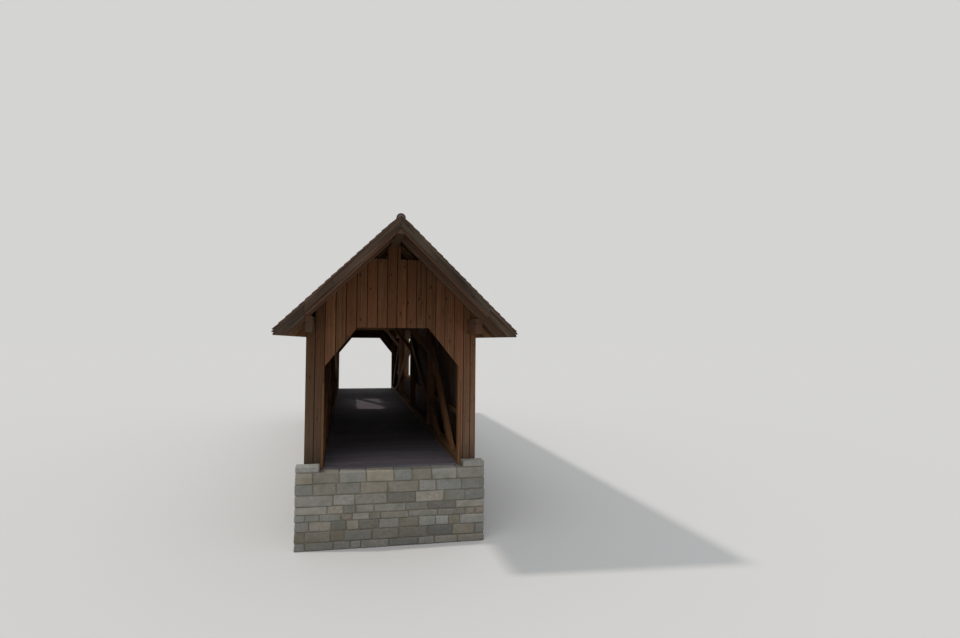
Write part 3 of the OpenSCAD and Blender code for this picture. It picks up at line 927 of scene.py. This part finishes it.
# %% [markdown]
# The roof is laid with long plain clay tiles, each with a rounded tail. There are thousands, so
# one tile has to be light: a block whose two tail corners are rounded with a wide bevel.

# %% Tile shape
TILE_LEN, TILE_W, TILE_T, TILE_GAP = 0.36, 0.18, 0.013, 0.0024
TAIL_ROUND, TAIL_SHARE = 0.075, 0.4


def tile_shape(width, length):
    """A tile with its tail on the line y = 0 and its top in the plane z = 0."""
    bm = bmesh.new()
    bmesh.ops.create_cube(bm, size=1)
    bmesh.ops.translate(bm, verts=bm.verts, vec=(0.5, -0.5, -0.5))
    bmesh.ops.scale(bm, verts=bm.verts, vec=(width - TILE_GAP, length, TILE_T))
    at_tail = [e for e in bm.edges if all(abs(v.co.y) < MERGE for v in e.verts)]
    corners = [e for e in at_tail if abs(e.verts[0].co.x - e.verts[1].co.x) < MERGE]
    bmesh.ops.bevel(bm, geom=corners, offset=min(TAIL_ROUND, TAIL_SHARE * width, TAIL_SHARE * length),
                    segments=3, profile=0.5, affect="EDGES", material=-1)
    return bm


tile = tile_shape(TILE_W, TILE_LEN)
print("a tile has", len(tile.faces), "faces")
tile.free()

# %% [markdown]
# The tiles lie in courses, each one over two others. An array would make them too even and could
# not end in halves. So a loop lays copies of the shape: every other course starts with a half
# tile, and the top courses are cut short under the ridge. Each copy is tilted so that its tail
# rests on the course below, and lies a little up or down by chance.

# %% Roof tiles
GAUGE, LAY_T, BATTEN, RIDGE_GAP = 0.150, 0.068, 0.0235, 0.03
LIFT, SLIP = (-0.0015, 0.001), (-0.002, 0.001)
low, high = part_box("roof_tiles_right")
SHEATHING_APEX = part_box("roof_boards_right")[1].z
SLOPE = (CAD_HIGH.x - LAY_T * math.sin(PITCH)) / math.cos(PITCH)
ACROSS = round((high.y - low.y) / TILE_W)
WIDTH = (high.y - low.y) / ACROSS
RISE = (LAY_T - TILE_T - BATTEN) / TILE_LEN

for side, sign in SIDES:
    stack = Stack()
    down = Vector((sign * math.cos(PITCH), 0, -math.sin(PITCH)))
    out = Vector((sign * math.sin(PITCH), 0, math.cos(PITCH)))
    across = down.cross(out)
    apex = Z * SHEATHING_APEX
    turn = Matrix((across, down + out * RISE, out)).transposed().to_4x4()
    for row in range(math.floor(SLOPE / GAUGE)):
        foot = SLOPE - row * GAUGE
        length = min(TILE_LEN, foot - RIDGE_GAP)
        whole_tile, half_tile = tile_shape(WIDTH, length), tile_shape(WIDTH / 2, length)
        starts = [k * WIDTH for k in range(ACROSS)]
        shapes = [whole_tile] * ACROSS
        if row % 2:
            starts = [0, *[(k + 0.5) * WIDTH for k in range(ACROSS)]]
            shapes = [half_tile, *shapes[1:], half_tile]
        for start, shape in zip(starts, shapes):
            lift, slip = CHANCE.uniform(*LIFT), CHANCE.uniform(*SLIP)
            y = start + TILE_GAP / 2
            edge = across * y + Y * (high.y if sign > 0 else low.y)
            corner = apex + edge + down * (foot + slip) + out * (LAY_T + lift)
            stack.repeat(shape, Matrix.Translation(corner) @ turn, CHANCE.betavariate(2, 2))
        whole_tile.free()
        half_tile.free()
    stack.piece("tiles_" + side, "roof_tiles", "roof_tiles_" + side, material=CLAY)

# %% [markdown]
# Stone and mortar share one recipe: a tone for each stone, grit at a scale of its own, a green
# film in patches and damp near the foot. Shaping the hammered faces would cost many triangles,
# so they are a slower noise in the bump.

# %% Stone and mortar
WARM_STONE, COOL_STONE = (1.08, 0.99, 0.88), (0.94, 1.0, 1.06)
FILM_GREEN, DAMP_BROWN, DAMP_BELOW = (0.08, 0.09, 0.045), (0.07, 0.065, 0.055), (0.05, 0.7)


def masonry(name, colours, scale):
    material, tree, shader = new_material(name)
    place = place_in(tree)
    tone = attribute(tree, "tone").outputs["Fac"]
    colour = ramp(tree, tone, [(0.0, colours[0]), (0.5, colours[1]), (1.0, colours[2])])
    grit = noise(tree, place, scale, 8.0, 0.7)
    specks = ramp(tree, grit, [(0.3, level(0.55)), (0.7, level(1.3))])
    colour = mix(tree, 0.6, colour, specks, "MULTIPLY")
    film = ramp(tree, noise(tree, place, 3.5, 5.0, 0.7), [(0.5, BLACK), (0.72, WHITE)])
    colour = mix(tree, times(tree, film, 0.55), colour, FILM_GREEN)
    colour = mix(tree, times(tree, height_band(tree, *DAMP_BELOW), 0.45), colour, DAMP_BROWN)
    colour = mix(tree, 1.0, colour, cast(tree, tone, WARM_STONE, COOL_STONE), "MULTIPLY")
    hewn = times(tree, noise(tree, place, scale * 0.5, 3.0, 0.5), 1.5)
    surface(tree, shader, colour, 0.9, plus(tree, grit, hewn), strength=0.7, distance=0.02)
    return material


STONE = masonry("stone", [(0.13, 0.12, 0.105), (0.21, 0.20, 0.175), (0.30, 0.285, 0.255)], 14)
MORTAR = masonry("mortar", [(0.15, 0.142, 0.125), (0.17, 0.16, 0.14), (0.2, 0.19, 0.165)], 60)
print("stone and mortar ready")

# %% [markdown]
# Half-round ridge tiles cover the joint of the two slopes. A pipe cut in two would be as wide at
# both ends, so a tile is a thin slice spun half round the ridge; it is a little wider at the end
# that laps over its neighbour. They lie low and stop behind the bargeboards.

# %% Ridge tiles
low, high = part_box("ridge_tiles")
RIDGE_LEN, RIDGE_T, RIDGE_LAP, RIDGE_SPREAD = 0.36, 0.014, 0.03, math.radians(196)
RIDGE_R, RIDGE_TAPER, RIDGE_PLAY = (high.x - low.x) / 2, 0.012, 0.001
RIDGE_LOWER, RIDGE_SHORTER = 0.022, 0.058
RIDGE_Z = high.z - RIDGE_R - RIDGE_LOWER
RIDGE_END = high.y - RIDGE_SHORTER


def ridge_tile(y0, y1, r0, r1):
    """A half-round tile from y0 to y1, with the outer radius r0 at one end and r1 at the other."""
    bm = bmesh.new()
    start = Matrix.Rotation((RIDGE_SPREAD - math.pi) / 2, 4, "Y")
    outline = ((r0, y0), (r1, y1), (r1 - RIDGE_T, y1), (r0 - RIDGE_T, y0))
    cut = bm.faces.new([bm.verts.new(Z * RIDGE_Z + start @ Vector((r, y, 0))) for r, y in outline])
    bmesh.ops.spin(bm, geom=[cut, *cut.edges, *cut.verts], cent=Z * RIDGE_Z, axis=-Y,
                   angle=RIDGE_SPREAD, steps=12, use_duplicate=False)
    bmesh.ops.recalc_face_normals(bm, faces=bm.faces)
    return bm


stack = Stack()
joints = evenly(-RIDGE_END, RIDGE_END, RIDGE_LEN)
wide = RIDGE_R - RIDGE_PLAY
for y0, y1 in zip(joints, joints[1:]):
    tile = ridge_tile(y0, min(y1 + RIDGE_LAP, RIDGE_END), wide, wide - RIDGE_TAPER)
    stack.repeat(tile, Matrix(), CHANCE.betavariate(2, 2))
    tile.free()
stack.piece("ridge_tiles_row", "roof_tiles", "ridge_tiles", material=CLAY)

# %% [markdown]
# Without more work the row of ridge tiles would be an open pipe at both ends. A tiler closes it
# with mortar, and so do we: a disc stands upright in each end and is sawn off under the tile.

# %% Ridge mortar
MORTAR_T, MORTAR_IN, MORTAR_LOW, MORTAR_ARRIS = 0.05, 0.062, 0.012, 0.004
MORTAR_R = RIDGE_R - RIDGE_T - 0.002
plugs = Stack()
for end in (-1, 1):
    disc = head_shape(MORTAR_R, MORTAR_T, sides=24, taper=1.0)
    upright = facing((0, end * (RIDGE_END - MORTAR_IN), RIDGE_Z), Y * end)
    bmesh.ops.transform(disc, verts=disc.verts, matrix=upright)
    for half in saw(disc, Z, [RIDGE_Z - MORTAR_LOW, RIDGE_Z + RIDGE_R], 0):
        plugs.add(half, MORTAR_ARRIS, 1, tone=0.3)
    disc.free()
plugs.piece("ridge_mortar", "roof_tiles", material=MORTAR)

# %% [markdown]
# The abutments cannot be seen in the photograph. Coursed rubble is the usual foot of such a
# bridge. A brick pattern in the material would be flat, so every stone is a block of its own: it
# starts as a cube, its corners are moved a little, and a wide bevel wears its edges.

# %% Stones
STONE_JOINT, STONE_ARRIS, ROUGHLY = 0.01, 0.02, (0.013, 0.013, 0.0065)


def stone(stack, *room):
    """A stone that fills its room but for a joint. The room is a pair of ends along x, y, z."""
    bm = bmesh.new()
    bmesh.ops.create_cube(bm, size=1)
    for v in bm.verts:
        v.co = Vector([(a + b) / 2 + c * (b - a - STONE_JOINT) for c, (a, b) in zip(v.co, room)])
        v.co += Vector([CHANCE.uniform(-rough, rough) for rough in ROUGHLY])
        v.co = Vector([min(max(c, a), b) for c, (a, b) in zip(v.co, room)])
    stack.add(bm, STONE_ARRIS, tone=CHANCE.betavariate(2, 2))


print("stones are up to", ROUGHLY[0] * 1000, "mm out of true")

# %% [markdown]
# A mason fills courses of chance heights with stones of chance lengths, and turns the corner
# stones of every other course the other way, so that no joint runs up the corner. One helper
# cuts a length by chance, another lays a course round a block.

# %% Courses
STONE_LEN, STONE_DEEP = (0.2, 0.62), 0.2


def spans(low, high, shortest, longest):
    """Cuts a length into pieces by chance, none shorter or longer than these limits."""
    cuts = [low]
    while high - cuts[-1] > longest:
        cuts.append(cuts[-1] + CHANCE.uniform(shortest, min(longest, high - cuts[-1] - shortest)))
    return list(zip(cuts, cuts[1:] + [high]))


def course(stack, x, y, z, bonded):
    """One course round a block. Bonded courses turn their corner stones the other way."""
    inset = STONE_DEEP if bonded else 0
    for face in ((y[0], y[0] + STONE_DEEP), (y[1] - STONE_DEEP, y[1])):
        for length in spans(x[0] + inset, x[1] - inset, *STONE_LEN):
            stone(stack, length, face, z)
    for face in ((x[0], x[0] + STONE_DEEP), (x[1] - STONE_DEEP, x[1])):
        for length in spans(y[0] + STONE_DEEP - inset, y[1] - STONE_DEEP + inset, *STONE_LEN):
            stone(stack, face, length, z)


print("a wall of 3 m has", len(spans(0, 3, *STONE_LEN)), "stones in a course")

# %% [markdown]
# Each abutment has a core of mortar, the CAD solid drawn in by 2 cm, with the courses round it.
# Slabs that run right through carry the timbers, and the back wall and the two cheeks beside the
# deck are built on them. The heights could be typed in, but read from the corners of the CAD
# solid they follow it.

# %% Abutments
DRAWN_IN, CORE_ARRIS, AT_FACE, AT_FOOT = 0.02, 0.003, 0.01, 0.1
COURSE_H, SLAB_FROM, SLAB_W, WALL_STONE = (0.13, 0.25), 0.8, (0.4, 0.75), (0.3, 0.62)


def levels(name, axis):
    """How far a node's corners lie from the origin along axis 0, 1 or 2, each distance once."""
    return sorted({round(abs(v.co[axis]), 4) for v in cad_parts[name].data.vertices})


for end, sign in ENDS:
    name = "abutment_" + end
    low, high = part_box(name)
    cheek, inner = levels(name, 0)[0], levels(name, 1)[1]
    seat, wall, top = levels(name, 2)[1:4]
    core = Stack()
    for part in islands(solid_of(name)):
        for v in part.verts:
            if abs(v.co.x) > high.x - AT_FACE:
                v.co.x -= math.copysign(DRAWN_IN, v.co.x)
            if min(v.co.y - low.y, high.y - v.co.y) < AT_FACE:
                v.co.y += math.copysign(DRAWN_IN, (low.y + high.y) / 2 - v.co.y)
            if v.co.z > AT_FOOT:
                v.co.z -= DRAWN_IN
        core.add(part, CORE_ARRIS, 1)
    core.piece("core_" + name, "abutment", name, material=MORTAR)
    stack = Stack()
    back = (inner, high.y) if sign > 0 else (low.y, -inner)
    slab, half_way = seat * SLAB_FROM, (seat + wall) / 2
    for k, z in enumerate(spans(0, slab, *COURSE_H)):
        course(stack, (low.x, high.x), (low.y, high.y), z, bonded=k % 2)
    for x in spans(low.x, high.x, *SLAB_W):
        stone(stack, x, (low.y, high.y), (slab, seat))
    for z in ((seat, half_way), (half_way, wall)):
        for x in spans(low.x, high.x, *WALL_STONE):
            stone(stack, x, back, z)
    for x in ((cheek, high.x), (low.x, -cheek)):
        stone(stack, x, back, (wall, top))
    stack.piece("stones_" + name, "abutment", material=STONE)

# %% [markdown]
# A pale floor stands in for a studio. A curved backdrop would be another way, but a floor whose
# edge is far away needs no bend, if the sky behind it has the colour that the lit floor renders.

# %% Floor
FLOOR_REACH = 1500
bpy.context.scene.view_settings.view_transform = "Standard"
sheet = bmesh.new()
bmesh.ops.create_grid(sheet, x_segments=1, y_segments=1, size=FLOOR_REACH)
mesh = bpy.data.meshes.new("floor")
sheet.to_mesh(mesh)
sheet.free()
floor = bpy.data.objects.new("floor", mesh)
bpy.context.scene.collection.objects.link(floor)
paint, tree, shader = new_material("floor")
shader.inputs["Base Color"].default_value = (0.50, 0.50, 0.50, 1)
shader.inputs["Roughness"].default_value = 0.95
shader.inputs["Specular IOR Level"].default_value = 0.0
mesh.materials.append(paint)
print("the floor reaches", FLOOR_REACH, "m each way")

# %% [markdown]
# One world can do two jobs, because a node tells what kind of ray is asking. What the camera, a
# reflection or glass sees is the floor's own grey, so no horizon shows. The light on the bridge
# comes from a soft sky, a little blue and plain on purpose.

# %% Sky
SOFT_SKY, SKY_STRENGTH, SEEN_SKY = (0.96, 0.98, 1, 1), 0.75, (0.66, 0.66, 0.65, 1)
world = bpy.data.worlds.new("studio")
bpy.context.scene.world = world
world.use_nodes = True
tree = world.node_tree
soft, seen = tree.nodes["Background"], tree.nodes.new("ShaderNodeBackground")
soft.inputs[0].default_value = SOFT_SKY
soft.inputs[1].default_value = SKY_STRENGTH
seen.inputs[0].default_value = SEEN_SKY
ray, choose = tree.nodes.new("ShaderNodeLightPath"), tree.nodes.new("ShaderNodeMixShader")
mirrored = plus(tree, ray.outputs["Is Glossy Ray"], ray.outputs["Is Transmission Ray"])
tree.links.new(plus(tree, ray.outputs["Is Camera Ray"], mirrored, True), choose.inputs[0])
tree.links.new(soft.outputs[0], choose.inputs[1])
tree.links.new(seen.outputs[0], choose.inputs[2])
tree.links.new(choose.outputs[0], tree.nodes["World Output"].inputs[0])
print("sky ready")

# %% [markdown]
# Area lamps would leave a bright pool near the bridge, so two wide suns light it, which reach the
# whole floor alike. The first is high in front. The second stands to the left, as in the
# photograph, and throws the side window's patch of light on the deck.

# %% Suns
def sun(name, towards, strength, spread, colour):
    data = bpy.data.lights.new(name, "SUN")
    data.energy, data.angle, data.color = strength, math.radians(spread), colour
    made = bpy.data.objects.new(name, data)
    made.rotation_euler = Vector(towards).to_track_quat("-Z", "Y").to_euler()
    bpy.context.scene.collection.objects.link(made)


sun("key", (0.45, 1, -1.5), strength=0.8, spread=40, colour=(1, 0.98, 0.95))
sun("side", (1, -0.15, -1.0), strength=1.8, spread=3, colour=(1, 0.95, 0.87))
print("two suns")
